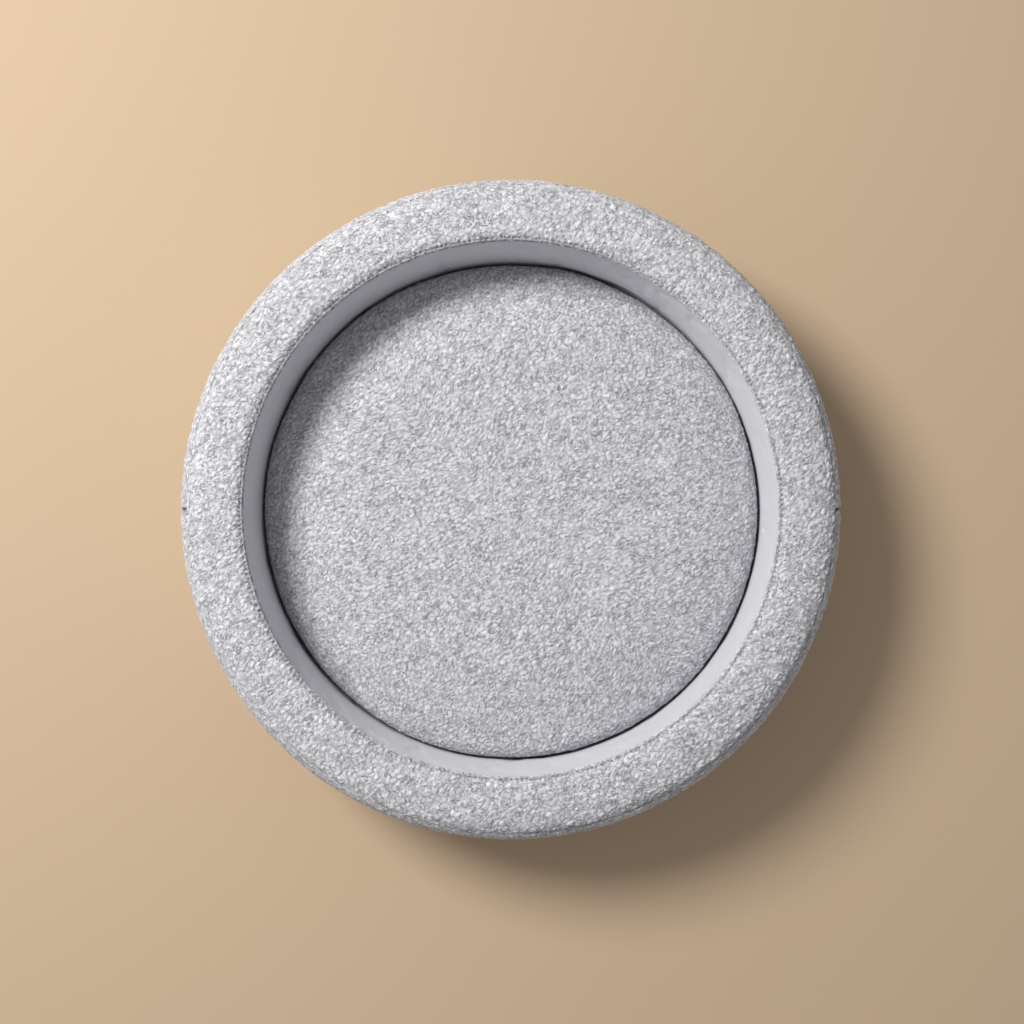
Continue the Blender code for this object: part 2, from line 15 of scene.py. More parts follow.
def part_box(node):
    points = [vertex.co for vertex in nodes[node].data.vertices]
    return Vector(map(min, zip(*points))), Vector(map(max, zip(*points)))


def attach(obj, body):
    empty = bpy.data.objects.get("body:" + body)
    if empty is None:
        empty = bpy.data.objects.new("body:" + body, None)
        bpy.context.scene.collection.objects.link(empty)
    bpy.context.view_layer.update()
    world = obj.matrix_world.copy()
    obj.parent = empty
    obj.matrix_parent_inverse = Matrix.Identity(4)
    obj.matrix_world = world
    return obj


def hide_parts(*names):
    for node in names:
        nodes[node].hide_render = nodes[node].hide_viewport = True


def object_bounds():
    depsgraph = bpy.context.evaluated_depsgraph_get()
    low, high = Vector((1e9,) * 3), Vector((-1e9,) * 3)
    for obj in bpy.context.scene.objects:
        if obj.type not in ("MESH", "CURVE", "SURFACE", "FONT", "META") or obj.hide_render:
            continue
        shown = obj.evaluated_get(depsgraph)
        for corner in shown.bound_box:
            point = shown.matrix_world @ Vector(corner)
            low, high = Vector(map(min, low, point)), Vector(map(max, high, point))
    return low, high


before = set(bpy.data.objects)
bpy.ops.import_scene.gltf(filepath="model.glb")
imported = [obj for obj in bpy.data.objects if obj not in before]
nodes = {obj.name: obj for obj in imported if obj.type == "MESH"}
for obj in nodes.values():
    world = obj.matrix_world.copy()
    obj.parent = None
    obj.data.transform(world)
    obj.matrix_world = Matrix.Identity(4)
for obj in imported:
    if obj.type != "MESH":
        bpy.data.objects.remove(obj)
cad_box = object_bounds()

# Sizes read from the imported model
BED_RADIUS = cad_box[1].x
BED_TOP = cad_box[1].z
INNER_SEAM_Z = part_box("ring_inner_wall")[1].z
OUTER_SEAM_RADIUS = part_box("ring_top_cover")[1].x
FLOOR_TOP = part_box("well_floor_panel")[1].z
CUSHION_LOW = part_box("cushion_bottom_panel")[0].z
CUSHION_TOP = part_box("cushion_top_panel")[1].z
CUSHION_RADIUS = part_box("cushion_side_band")[1].x
CUSHION_SEAM_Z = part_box("cushion_side_band")[1].z
BASE_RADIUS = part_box("base_panel")[1].x
ZIP_UPPER_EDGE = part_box("ring_outer_wall_rear")[0].z
ZIP_LOWER_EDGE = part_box("ring_rear_skirt")[1].z
WALL_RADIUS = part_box("ring_rear_skirt")[1].x

# Shape of the ring and the cushion, as in the model they cover
WELL_RADIUS = 0.2325
WAIST_RECESS = 0.0022
FOOT_RECESS = 0.0010
INNER_SEAM_RADIUS = 0.2390
WALL_WAIST_BELOW_SEAM = 0.0665
CREST_FROM_SEAM = 0.0100
SHOULDER_DROP = 0.0500
SHOULDER_ROUNDNESS = 3.3
BELLY_DEPTH = 0.0180
ZIP_BAND_ABOVE = 0.0107
DOME_START = 0.1300
DOME_DROP = 0.0175
DOME_POWER = 2.3
EDGE_ROLL = 0.0110
EDGE_DROP = 0.0155
EDGE_BULGE = 0.0030
LOWER_ROLL = 0.0140
LOWER_RISE = 0.0180

# Mesh of the skins
PILE_SPACING = 0.0011
WALL_SPACING = 0.0015
SMOOTH_SPACING = 0.0022
OUTLINE_STEP = 0.0008
PILE_SKIN = 0.0026
WALL_SKIN = 0.0024

# Pile: its curls, its height, and the share of that height which lies on the skin
RING_CURL = 0.0040
CUSHION_CURL = 0.0036
CURL_SLANT = radians(38)
CURL_STRETCH = 1.7
RING_PILE = 0.0024
OUTER_PILE = 0.0022
CUSHION_PILE = 0.0018
BAND_PILE = 0.0016
PILE_MIDDLE = 0.62
PILE_LAP = 0.0046
DEEPEST = 0.0030
SEED = 7
CUSHION_SEED = SEED + 40

# Seams
SEAM_WIDTH = 0.0018
SEAM_FADE = 0.0030
BAND_SEAM_DIP = 0.0024
CUSHION_SEAM_DIP = 0.0012
OUTER_SEAM_DIP = 0.0010
FAINT_DIP = 0.0002
SIDE_SEAM_DIP = 0.0007
SIDE_SEAM_WIDTH = 0.0019
PUCKER_PITCH = 0.0048

# Padding by cloth simulation
SEWN = "sewn"
SEWN_REACH = 0.0022
RING_OUTLINE_STEP = 0.0055
CUSHION_OUTLINE_STEP = 0.0060
SKIRT_SEAM_FROM_FOOT = 0.0320
PADDING_STEPS = 20
SWELL_SHARE = 0.5
SWELL_LOW = -0.0006
SWELL_HIGH = 0.0012

# Zips, stitches and grip
TOOTH_PITCH = 0.0016
TOOTH_LENGTH = TOOTH_PITCH * 0.72
RING_TOOTH_DEPTH = 0.0022
RING_TAPE_DEPTH = 0.0008
STITCH_FROM_ZIP = 0.0026
DOT_SPACING = 0.0110
DOT_HEIGHT = 0.0006


# ---------------------------------------------------------------- camera, light and floor

CAMERA_HEIGHT = 1.408
CAMERA_PLACE = (0.0073, -0.0364)
LENS = 50.0
SENSOR = 36.0
LIGHT_DIRECTION = Vector((-0.80, 0.60, 0.0)).normalized()


def add_camera():
    data = bpy.data.cameras.new("camera")
    data.lens = LENS
    data.sensor_width = SENSOR
    data.shift_x = -0.0068
    data.shift_y = 0.0370
    data.clip_start = 0.01
    camera = bpy.data.objects.new("camera", data)
    camera.location = (*CAMERA_PLACE, CAMERA_HEIGHT)
    bpy.context.scene.collection.objects.link(camera)
    bpy.context.scene.camera = camera


def add_area_light(name, place, aim, size, power, colour):
    data = bpy.data.lights.new(name, "AREA")
    data.shape = "DISK"
    data.size = size
    data.energy = power
    data.color = colour
    light = bpy.data.objects.new(name, data)
    light.location = place
    light.rotation_euler = (Vector(aim) - Vector(place)).to_track_quat("-Z", "Y").to_euler()
    bpy.context.scene.collection.objects.link(light)


def add_light():
    reach, height = 1.77, 2.06
    key = LIGHT_DIRECTION * reach + Vector((0, 0, height))
    add_area_light("key_light", key, (0, 0, 0), 1.0, 68.0, (1.0, 0.985, 0.965))
    world = bpy.data.worlds.new("world")
    world.use_nodes = True
    background = world.node_tree.nodes["Background"]
    background.inputs["Color"].default_value = (0.94, 0.945, 0.97, 1.0)
    background.inputs["Strength"].default_value = 0.33
    bpy.context.scene.world = world
    view = bpy.context.scene.view_settings
    view.view_transform = "Standard"
    view.look = "None"


def add_floor():
    bm = bmesh.new()
    bmesh.ops.create_grid(bm, x_segments=2, y_segments=2, size=40)
    material, _, shader = new_material("floor_paint")
    shader.inputs["Base Color"].default_value = (0.595, 0.445, 0.295, 1)
    shader.inputs["Roughness"].default_value = 0.85
    new_piece("floor", bm, material, smooth=False)


# ---------------------------------------------------------------- patterns worked out on the mesh

def scatter(cells, seed):
    """Three repeatable values from 0 to 1 for each whole-numbered cell."""
    x, y, z = (cells[:, axis].astype(np.uint64) for axis in range(3))
    mixed = x * np.uint64(73856093) ^ y * np.uint64(19349663) ^ z * np.uint64(83492791)
    mixed = mixed + np.uint64(seed * 2654435761)
    values = []
    for _ in range(3):
        mixed = (mixed ^ (mixed >> np.uint64(31))) * np.uint64(0x9E3779B97F4A7C15)
        mixed = mixed ^ (mixed >> np.uint64(29))
        values.append((mixed >> np.uint64(40)).astype(np.float32) / np.float32(2 ** 24))
    return np.stack(values, axis=1)


def cell_distances(points, seed):
    """Distances to the two nearest scattered centres, one in each unit cell, and the nearest's value."""
    base = np.floor(points).astype(np.int64)
    first = np.full(len(points), 9.0, np.float32)
    second = first.copy()
    value = np.zeros(len(points), np.float32)
    for step in product((-1, 0, 1), repeat=3):
        cells = base + np.array(step)
        random = scatter(cells, seed)
        distance = np.linalg.norm(cells + random - points, axis=1).astype(np.float32)
        nearer = distance < first
        second = np.where(nearer, first, np.minimum(second, distance))
        value = np.where(nearer, random[:, 0], value)
        first = np.where(nearer, distance, first)
    return first, second, value


def soft_noise(points, seed):
    """Smooth noise from -1 to 1, with features about one unit across."""
    base = np.floor(points).astype(np.int64)
    part = points - base
    part = part * part * (3 - 2 * part)
    total = np.zeros(len(points))
    for step in product((0, 1), repeat=3):
        weight = np.ones(len(points))
        for axis in range(3):
            weight *= part[:, axis] if step[axis] else 1 - part[:, axis]
        total += weight * scatter(base + np.array(step), seed)[:, 0]
    return total * 2 - 1


def slanted(points, stretch):
    """Points in axes turned to the lie of the pile, and shortened along it so that curls come out long."""
    c, s = cos(CURL_SLANT), sin(CURL_SLANT)
    along = points[:, 0] * c + points[:, 1] * s
    across = -points[:, 0] * s + points[:, 1] * c
    return np.stack([along / stretch, across, points[:, 2]], axis=1)


def curly_pile(points, curl, seed=SEED):
    """Height of a curly pile from 0 to 1, and how far down in a crease between curls each point lies, which
    sets the painted shade in the creases.
    """
    warp = np.stack([soft_noise(points / (curl * 1.3), seed + k) for k in range(3)], axis=1)
    turned = slanted(points + warp * curl * 0.42, CURL_STRETCH)
    near, far, value = cell_distances(turned / curl, seed + 11)
    knots = np.clip((far - near) * 1.7, 0, 1) ** 0.65 * (0.62 + 0.38 * value)
    near_small, far_small, value_small = cell_distances(turned / (curl * 0.52), seed + 12)
    loops = np.clip((far_small - near_small) * 1.6, 0, 1) ** 0.7 * (0.6 + 0.4 * value_small)
    height = 0.62 * knots + 0.38 * loops
    # Crease depth, used as the mask of painted shade in the creases.
    crease = 1 - np.clip((0.6 * knots + 0.4 * loops) * 1.9, 0, 1)
    return height, crease


# ---------------------------------------------------------------- outlines

def arc_lengths(line):
    steps = np.hypot(*np.diff(line, axis=0).T)
    return np.concatenate([[0], np.cumsum(steps)])


def resampled(line, spacing):
    """The line with points at an even spacing, its two ends kept."""
    line = np.asarray(line, float)
    lengths = arc_lengths(line)
    count = max(2, int(round(lengths[-1] / spacing)) + 1)
    at = np.linspace(0, lengths[-1], count)
    return np.stack([np.interp(at, lengths, line[:, 0]), np.interp(at, lengths, line[:, 1])], axis=1)


def rounded_shoulder(share):
    """A point of the ring's outer shoulder, from its crest at 0 to its widest at 1."""
    crest = INNER_SEAM_RADIUS + CREST_FROM_SEAM
    drop = (1 - share ** SHOULDER_ROUNDNESS) ** (1 / SHOULDER_ROUNDNESS)
    return crest + (BED_RADIUS - crest) * share, BED_TOP - SHOULDER_DROP + SHOULDER_DROP * drop


def inner_wall_line():
    """From the foot of the well's wall over its waist up to the inner seam."""
    waist_z = INNER_SEAM_Z - WALL_WAIST_BELOW_SEAM
    waist = WELL_RADIUS + WAIST_RECESS
    line = [(waist + FOOT_RECESS, FLOOR_TOP + 0.001)]
    for share, below in ((1, 0.026), (0.8, 0.014), (0.3, 0.006), (0, 0)):
        line.append((waist + FOOT_RECESS * share, waist_z - below))
    lean = INNER_SEAM_RADIUS - waist
    for share in np.linspace(0.1, 1, 10):
        line.append((waist + lean * share ** 1.7, waist_z + WALL_WAIST_BELOW_SEAM * share))
    return line


def seam_share():
    crest = INNER_SEAM_RADIUS + CREST_FROM_SEAM
    return (OUTER_SEAM_RADIUS - crest) / (BED_RADIUS - crest)


def ring_top_line():
    """From the pile's lap below the inner seam, over the crest, to the outer seam."""
    crest = rounded_shoulder(0.0)
    start = (INNER_SEAM_RADIUS, INNER_SEAM_Z)
    line = [(start[0] - PILE_LAP * inward, start[1] - PILE_LAP * below)
            for inward, below in ((0.45, 1), (0.32, 0.5), (0, 0))]
    for share in (0.25, 0.5, 0.75):
        rise = 1 - (1 - share) ** 2
        line.append((start[0] + (crest[0] - start[0]) * share, start[1] + (crest[1] - start[1]) * rise))
    line += [rounded_shoulder(share) for share in np.linspace(0, seam_share(), 24)]
    return line


def outer_wall_line():
    """From the outer seam over the belly, down the zip band to the foot."""
    line = [rounded_shoulder(share) for share in np.linspace(seam_share(), 1, 10)]
    band_top = ZIP_UPPER_EDGE + ZIP_BAND_ABOVE
    tuck = BED_RADIUS - WALL_RADIUS
    low = BED_TOP - SHOULDER_DROP - BELLY_DEPTH
    for share in np.linspace(0.15, 1, 8):
        ease = share * share * (3 - 2 * share)
        line.append((BED_RADIUS - tuck * ease, low + (band_top - low) * share))
    line += [(WALL_RADIUS, 0.0150), (BED_RADIUS - 0.0073, 0.0100), (BED_RADIUS - 0.0094, 0.0062),
             (BED_RADIUS - 0.0135, 0.0012)]
    return line


def cushion_line():
    """From the middle of the cushion's top over its edge to the side seam."""
    start = CUSHION_RADIUS - EDGE_ROLL
    line = [(0, CUSHION_TOP), (DOME_START, CUSHION_TOP)]
    for share in np.linspace(0.05, 1, 16):
        radius = DOME_START + (start - DOME_START) * share
        line.append((radius, CUSHION_TOP - DOME_DROP * share ** DOME_POWER))
    for share in np.sin(np.linspace(0.1, 1, 12) * pi / 2):
        drop = EDGE_DROP * (0.4 * share + 0.6 * (1 - sqrt(max(0, 1 - share ** 2))))
        line.append((start + (EDGE_ROLL + EDGE_BULGE) * share, CUSHION_TOP - DOME_DROP - drop))
    return line


def cushion_side_line():
    """From the cushion's side seam down to its lower seam."""
    line = [(CUSHION_RADIUS + EDGE_BULGE, CUSHION_SEAM_Z),
            (CUSHION_RADIUS + EDGE_BULGE * 0.4, CUSHION_SEAM_Z - 0.012),
            (CUSHION_RADIUS, CUSHION_LOW + LOWER_RISE)]
    for share in np.linspace(0.1, 1, 8):
        turn = share * pi / 2
        radius = CUSHION_RADIUS - LOWER_ROLL * (1 - cos(turn))
        line.append((radius, CUSHION_LOW + LOWER_RISE * (1 - sin(turn))))
    return line


def cut_line(line, low_z=-1.0, high_z=1.0):
    """The part of a falling line between two heights."""
    line = resampled(line, 0.0005)
    return line[(line[:, 1] >= low_z) & (line[:, 1] <= high_z)]


def side_normals(line):
    """Unit normals on the left of a line, which is its outer side where it climbs the well's wall."""
    tangent = np.gradient(line, axis=0)
    tangent /= np.linalg.norm(tangent, axis=1)[:, None]
    return np.stack([-tangent[:, 1], tangent[:, 0]], axis=1)


# ---------------------------------------------------------------- reading and writing a mesh

def points_of(mesh):
    place = np.zeros(len(mesh.vertices) * 3)
    mesh.vertices.foreach_get("co", place)
    return place.reshape(-1, 3)


def normals_of(mesh):
    normal = np.zeros(len(mesh.vertices) * 3)
    mesh.vertex_normals.foreach_get("vector", normal)
    return normal.reshape(-1, 3)


def read_layer(mesh, name):
    values = np.zeros(len(mesh.vertices), np.float32)
    mesh.attributes[name].data.foreach_get("value", values)
    return values


def write_layer(mesh, name, values):
    layer = mesh.attributes.new(name, "FLOAT", "POINT")
    layer.data.foreach_set("value", values.astype(np.float32))


def round_place(radius, angle, height):
    """Points at a radius and an angle about Z, and at a height."""
    return np.stack([radius * np.cos(angle), radius * np.sin(angle), height], axis=1)


# ---------------------------------------------------------------- padding by cloth simulation

def turned_outline(name, line, around):
    """A coarse skin turned from a closed outline, which keeps each point's length along the line."""
    bm = bmesh.new()
    along = bm.verts.layers.float.new("along")
    verts = []
    for (r, z), length in zip(line, arc_lengths(line)):
        vert = bm.verts.new((r, 0, z))
        vert[along] = length
        verts.append(vert)
    edges = [bm.edges.new(pair) for pair in zip(verts, verts[1:] + verts[:1])]
    bmesh.ops.spin(bm, geom=verts + edges, cent=(0, 0, 0), axis=(0, 0, 1), angle=2 * pi,
                   steps=around, use_merge=True)
    bmesh.ops.recalc_face_normals(bm, faces=bm.faces)
    mesh = bpy.data.meshes.new(name)
    bm.to_mesh(mesh)
    bm.free()
    skin = bpy.data.objects.new(name, mesh)
    bpy.context.scene.collection.objects.link(skin)
    return skin


def blown_up(skin, sewn, pressure):
    """How far each point of a skin moves when it is filled, with its sewn points held down."""
    mesh = skin.data
    length = read_layer(mesh, "along")
    pinned = np.zeros(len(length), bool)
    for seam in sewn:
        pinned |= np.abs(length - seam) < SEWN_REACH
    group = skin.vertex_groups.new(name=SEWN)
    group.add([int(i) for i in np.flatnonzero(pinned)], 1.0, "REPLACE")
    cloth = skin.modifiers.new("padding", "CLOTH")
    cloth.settings.quality = 4
    cloth.settings.mass = 0.3
    cloth.settings.tension_stiffness = 12
    cloth.settings.compression_stiffness = 12
    cloth.settings.bending_stiffness = 0.4
    cloth.settings.shrink_min = -0.035
    cloth.settings.use_pressure = True
    cloth.settings.uniform_pressure_force = pressure
    cloth.settings.vertex_group_mass = SEWN
    cloth.settings.effector_weights.gravity = 0
    cloth.point_cache.frame_end = PADDING_STEPS
    for step in range(PADDING_STEPS):
        bpy.context.scene.frame_set(step + 1)
    shaped = skin.evaluated_get(bpy.context.evaluated_depsgraph_get())
    return ((points_of(shaped.data) - points_of(mesh)) * normals_of(mesh)).sum(axis=1)


def inflated_section(name, line, sewn, around, pressure, cap):
    """Blows up a skin turned from the outline, sewn down at given lengths along it. It returns the
    lengths of the outline's points and their swell, one row for each angle."""
    skin = turned_outline(name, line, around)
    mesh = skin.data
    swell = np.clip(blown_up(skin, sewn, pressure), -cap, cap)
    place = points_of(mesh)
    angle = np.round(np.arctan2(place[:, 1], place[:, 0]) / (2 * pi) * around).astype(int) % around
    lengths = arc_lengths(line)
    rank = np.searchsorted(lengths, read_layer(mesh, "along") - 1e-6)
    table = np.zeros((around, len(line)))
    table[angle, np.clip(rank, 0, len(line) - 1)] = swell
    table = np.clip((table - np.median(table)) * SWELL_SHARE, SWELL_LOW, SWELL_HIGH)
    bpy.data.objects.remove(skin)
    bpy.data.meshes.remove(mesh)
    bpy.context.scene.frame_set(1)
    return lengths, table


def read_swell(swell, angles, lengths):
    """Swell at any angle and length, read smoothly from the simulated rows."""
    if swell is None:
        return np.zeros(len(angles))
    at, table = swell
    around = len(table)
    turn = (np.asarray(angles) / (2 * pi) * around) % around
    low = np.floor(turn).astype(int) % around
    part = turn - np.floor(turn)
    column = np.interp(lengths, at, np.arange(len(at)))
    left = np.clip(np.floor(column).astype(int), 0, len(at) - 2)
    share = column - left
    high = (low + 1) % around
    near = table[low, left] * (1 - share) + table[low, left + 1] * share
    far = table[high, left] * (1 - share) + table[high, left + 1] * share
    return near * (1 - part) + far * part


# ---------------------------------------------------------------- making pieces

def new_piece(name, bm, material, smooth=True):
    mesh = bpy.data.meshes.new(name)
    bm.to_mesh(mesh)
    bm.free()
    if smooth:
        mesh.shade_smooth()
    mesh.materials.append(material)
    piece = bpy.data.objects.new(name, mesh)
    bpy.context.scene.collection.objects.link(piece)
    return piece


def turned_shell(name, line, depth, angles, spacing, material):
    """A turned skin with a hidden inner side: dense where it shows, closed at its ends.
    A grid is wrapped round the section one way and round the bed the other way."""
    outer = resampled(line, spacing)
    inner = (outer - side_normals(outer) * depth)[:: max(1, len(outer) // 6)][::-1]
    section = np.concatenate([outer, inner, outer[:1]])
    lengths = np.concatenate([arc_lengths(outer), -np.ones(len(inner)), [0.0]])
    last = len(section) - 1
    turn = angles[1] - angles[0]
    bm = bmesh.new()
    bmesh.ops.create_grid(bm, x_segments=int(round(turn * BED_RADIUS / spacing)), y_segments=last, size=1)
    mesh = bpy.data.meshes.new(name)
    bm.to_mesh(mesh)
    bm.free()
    place = points_of(mesh)
    row = np.clip(np.round((place[:, 1] + 1) / 2 * last).astype(int), 0, last)
    angle = angles[0] + (place[:, 0] + 1) / 2 * turn
    mesh.vertices.foreach_set("co", round_place(section[row, 0], angle, section[row, 1]).ravel())
    write_layer(mesh, "along", lengths[row])
    bm = bmesh.new()
    bm.from_mesh(mesh)
    bpy.data.meshes.remove(mesh)
    bmesh.ops.remove_doubles(bm, verts=bm.verts, dist=1e-6)
    bmesh.ops.holes_fill(bm, edges=[edge for edge in bm.edges if edge.is_boundary], sides=0)
    bmesh.ops.recalc_face_normals(bm, faces=bm.faces)
    return new_piece(name, bm, material), arc_lengths(outer)[-1]


def held_back(offset):
    """Eases a move inward so that it never passes DEEPEST."""
    half = DEEPEST / 2
    eased = -DEEPEST + half * np.exp((offset + half) / half)
    return np.where(offset < -half, eased, offset)


def shape_skin(piece, length, curl, depth, swell=None, swell_start=0.0, edges=(BAND_SEAM_DIP, BAND_SEAM_DIP),
               extra=None, side_seams=(), seed=SEED):
    """Moves a skin's outer side along its normals: padding, pile, and the dip into each seam.
    It keeps the depth of each crease on the mesh, as the mask of the material's painted shade."""
    mesh = piece.data
    place, normal, along = points_of(mesh), normals_of(mesh), read_layer(mesh, "along")
    shown = along >= 0
    spots, lengths = place[shown], along[shown]
    angles = np.arctan2(spots[:, 1], spots[:, 0])
    height, creases = np.zeros(len(spots)), np.zeros(len(spots))
    if curl:
        height, creases = curly_pile(spots, curl, seed)
    offset = read_swell(swell, angles, lengths + swell_start)
    fade = np.ones(len(spots))
    for dip, distance in ((edges[0], lengths), (edges[1], length - lengths)):
        if dip:
            offset -= dip * np.exp(-(distance / SEAM_WIDTH) ** 2)
            fade *= 1 - 0.5 * np.exp(-(distance / SEAM_FADE) ** 2)
    offset += (height - PILE_MIDDLE) * depth * fade
    for seam in side_seams:
        away = np.abs((angles - seam + pi) % (2 * pi) - pi) * BED_RADIUS
        offset -= SIDE_SEAM_DIP * np.exp(-(away / SIDE_SEAM_WIDTH) ** 2)
    if extra:
        more, darker = extra(spots, angles, lengths)
        offset += more
        # Darkening from the extra shaping is painted shade, added to the crease mask.
        creases = np.clip(creases + darker, 0, 1)
    move, crease = np.zeros(len(place)), np.zeros(len(place))
    move[shown], crease[shown] = held_back(offset), creases
    mesh.vertices.foreach_set("co", (place + normal * move[:, None]).ravel())
    mesh.attributes.remove(mesh.attributes["along"])
    write_layer(mesh, "crease", crease)
    mesh.update()


# ---------------------------------------------------------------- materials

def add_node(tree, kind, inputs=None, **settings):
    """Adds a node. Each input is named or numbered, and is given a value or another node's output."""
    node = tree.nodes.new(kind)
    for name, value in settings.items():
        setattr(node, name, value)
    for key, value in (inputs or {}).items():
        if isinstance(value, bpy.types.NodeSocket):
            tree.links.new(value, node.inputs[key])
        else:
            node.inputs[key].default_value = value
    return node


def add_math(tree, operation, *values):
    return add_node(tree, "ShaderNodeMath", dict(enumerate(values)), operation=operation).outputs[0]


def add_noise(tree, place, scale, **more):
    inputs = {"Vector": place, "Scale": scale, **more}
    return add_node(tree, "ShaderNodeTexNoise", inputs).outputs["Fac"]


def add_mix(tree, factor, first, second, data_type="RGBA"):
    inputs = {"Factor": factor, "A": first, "B": second}
    return add_node(tree, "ShaderNodeMix", inputs, data_type=data_type).outputs["Result"]


def add_group(name, inputs, outputs):
    """A node group, with the outputs of its first node and the inputs of its last."""
    group = bpy.data.node_groups.new(name, "ShaderNodeTree")
    for label, kind, value in inputs:
        socket = group.interface.new_socket(name=label, in_out="INPUT", socket_type=kind)
        socket.default_value = value
    for label, kind in outputs:
        group.interface.new_socket(name=label, in_out="OUTPUT", socket_type=kind)
    start = group.nodes.new("NodeGroupInput")
    end = group.nodes.new("NodeGroupOutput")
    return group, start.outputs, end.inputs


def new_material(name):
    """A material with its node tree and its shader."""
    material = bpy.data.materials.new(name)
    material.use_nodes = True
    return material, material.node_tree, material.node_tree.nodes["Principled BSDF"]


def add_relief(tree, shader, height, strength, distance):
    bump = add_node(tree, "ShaderNodeBump", {"Height": height, "Strength": strength, "Distance": distance})
    tree.links.new(bump.outputs["Normal"], shader.inputs["Normal"])


def fibre_group():
    """Fine fibre relief and soft colour drift, shared by every fabric, with painted shade that darkens the
    colour in the creases.
    """
    group, given, result = add_group(
        "fibres",
        [("Colour", "NodeSocketColor", (0.6, 0.6, 0.62, 1)),
         ("Crease Shade Colour", "NodeSocketColor", (0.3, 0.3, 0.32, 1)),
         ("Crease", "NodeSocketFloat", 0.0),
         ("Fibre Scale", "NodeSocketFloat", 900.0),
         ("Drift", "NodeSocketFloat", 0.06)],
        [("Colour", "NodeSocketColor"), ("Height", "NodeSocketFloat")])
    spot = add_node(group, "ShaderNodeTexCoord").outputs["Object"]
    fine = add_noise(group, spot, given["Fibre Scale"], Detail=3.0, Roughness=0.62, Distortion=1.2)
    broad = add_noise(group, spot, 24.0, Detail=2.0)
    # Painted shade: the Crease mask darkens the colour towards the shade colour.
    mix = add_mix(group, given["Crease"], given["Colour"], given["Crease Shade Colour"])
    drift = add_math(group, "MULTIPLY_ADD", add_math(group, "SUBTRACT", broad, 0.5), given["Drift"], 1.0)
    speckle = add_node(group, "ShaderNodeMapRange", {
        "Value": fine, "From Min": 0.3, "From Max": 0.7, "To Min": 0.90, "To Max": 1.06}).outputs["Result"]
    both = add_math(group, "MULTIPLY", drift, speckle)
    tint = add_node(group, "ShaderNodeVectorMath", operation="SCALE")
    group.links.new(mix, tint.inputs[0])
    group.links.new(both, tint.inputs["Scale"])
    group.links.new(tint.outputs["Vector"], result["Colour"])
    group.links.new(fine, result["Height"])
    return group


def worm_group():
    """Short wormy creases between curls, along the lie of the pile: a mask of painted shade and a height."""
    group, given, result = add_group(
        "worm_creases",
        [("Scale", "NodeSocketFloat", 230.0),
         ("Width", "NodeSocketFloat", 0.05),
         ("Lean", "NodeSocketFloat", 0.6)],
        [("Crease", "NodeSocketFloat"), ("Height", "NodeSocketFloat")])
    spot = add_node(group, "ShaderNodeTexCoord").outputs["Object"]
    lie = add_node(group, "ShaderNodeMapping", {
        "Vector": spot, "Rotation": (0, 0, CURL_SLANT), "Scale": (CURL_STRETCH, 1.0, 1.0)},
        vector_type="TEXTURE").outputs["Vector"]
    worm = add_noise(group, lie, given["Scale"], Detail=1.5, Roughness=0.6, Distortion=0.9)
    size = add_math(group, "ABSOLUTE", add_math(group, "SUBTRACT", worm, 0.5))
    line = add_node(group, "ShaderNodeMapRange", {
        "Value": size, "From Max": given["Width"], "To Min": 1.0, "To Max": 0.0}).outputs["Result"]
    patch = add_noise(group, lie, 130.0, Detail=2.0)
    present = add_node(group, "ShaderNodeMapRange", {
        "Value": patch, "From Min": 0.40, "From Max": 0.62, "To Min": 0.45}).outputs["Result"]
    # This crease mask sets painted shade in the fine creases.
    crease = add_math(group, "MULTIPLY", line, present)
    lift = add_math(group, "MULTIPLY", size, given["Lean"])
    group.links.new(crease, result["Crease"])
    group.links.new(add_math(group, "SUBTRACT", lift, crease), result["Height"])
    return group


def weave_group():
    """Plain weave: warp and weft threads that pass over each other by turns, with painted shade in the low
    gaps between them.
    """
    group, given, result = add_group(
        "weave",
        [("Across", "NodeSocketFloat", 0.0),
         ("Along", "NodeSocketFloat", 0.0),
         ("Thread", "NodeSocketFloat", 0.0006),
         ("Colour", "NodeSocketColor", (0.5, 0.5, 0.53, 1)),
         ("Gap Shade Colour", "NodeSocketColor", (0.2, 0.2, 0.22, 1))],
        [("Colour", "NodeSocketColor"), ("Height", "NodeSocketFloat")])
    ridges, waves = [], []
    for axis in ("Across", "Along"):
        turn = add_math(group, "MULTIPLY", add_math(group, "DIVIDE", given[axis], given["Thread"]), pi)
        wave = add_math(group, "ABSOLUTE", add_math(group, "SINE", turn))
        ridges.append(add_math(group, "POWER", wave, 0.6))
        waves.append(add_math(group, "SINE", add_math(group, "MULTIPLY", turn, 0.5)))
    over = add_math(group, "MULTIPLY_ADD", add_math(group, "MULTIPLY", *waves), 0.5, 0.5)
    height = add_mix(group, over, *ridges, data_type="FLOAT")
    # Painted shade: the colour darkens towards the gap colour where the threads lie low.
    group.links.new(add_mix(group, height, given["Gap Shade Colour"], given["Colour"]), result["Colour"])
    group.links.new(height, result["Height"])
    return group


FIBRES = fibre_group()
WORMS = worm_group()
WEAVE = weave_group()


